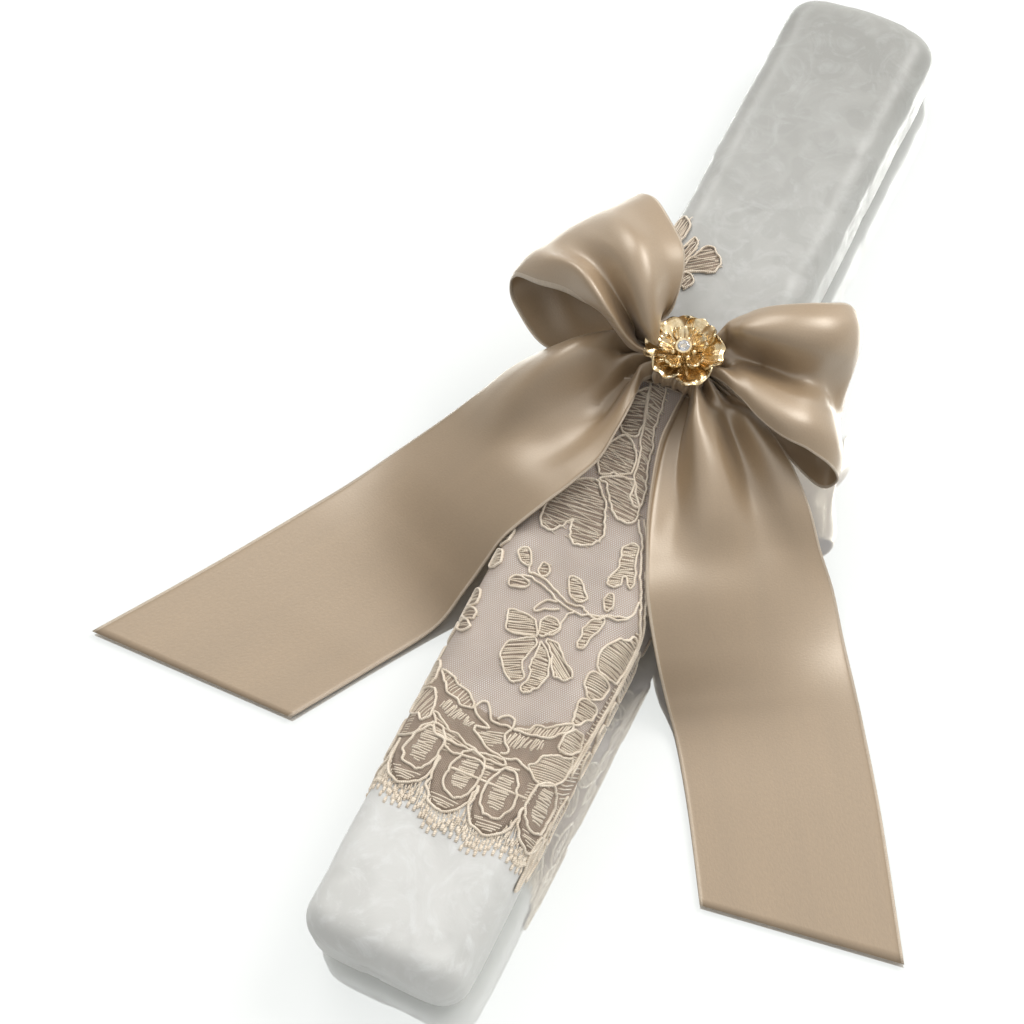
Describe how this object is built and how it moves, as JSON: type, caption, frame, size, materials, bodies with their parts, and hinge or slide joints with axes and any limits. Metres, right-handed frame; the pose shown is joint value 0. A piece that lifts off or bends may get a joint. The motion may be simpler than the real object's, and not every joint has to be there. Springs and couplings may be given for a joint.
{
  "type": "decorated ceremonial candle",
  "caption": "Flat pillar candle wrapped in corded lace, tied with a wide satin ribbon bow that carries a gilt flower with a clear stone.",
  "frame": {"origin": "centre of the base end's flat face", "axes": "+Y along the candle from the base end to the wick end, +Z out of the decorated face, so the candle lies on its back with -Z down"},
  "size_m": [0.24, 0.318, 0.0545],
  "materials": {
    "wax": "frosted, slightly translucent, marbled",
    "wick": "braided cotton",
    "tulle": "fine open mesh",
    "lace_cord": "lustrous rayon cord and satin stitch",
    "satin": "double-faced satin",
    "wire": "bare florist wire",
    "gilt": "polished gilt",
    "crystal": "cut and clear"
  },
  "bodies": {
    "root": {"wax_body": "wax", "wick": "wick", "lace_net": "tulle", "lace_scallop_border": "lace_cord", "lace_hem_fringe": "lace_cord", "lace_blossom_spray": "lace_cord", "lace_side_border": "lace_cord", "lace_fan_leaves": "lace_cord", "lace_top_leaf": "lace_cord", "ribbon_band": "satin", "bow_tail_left": "satin", "bow_tail_right": "satin", "bow_loop_left": "satin", "bow_loop_right": "satin", "bow_gather": "satin", "bow_binding_wire": "wire", "bow_knot_wrap": "satin", "flower_shank": "gilt", "flower_outer_petals": "gilt", "flower_inner_petals": "gilt", "flower_bead_ring": "gilt", "stone_cup": "gilt", "clear_stone": "crystal"}
  },
  "joints": []
}
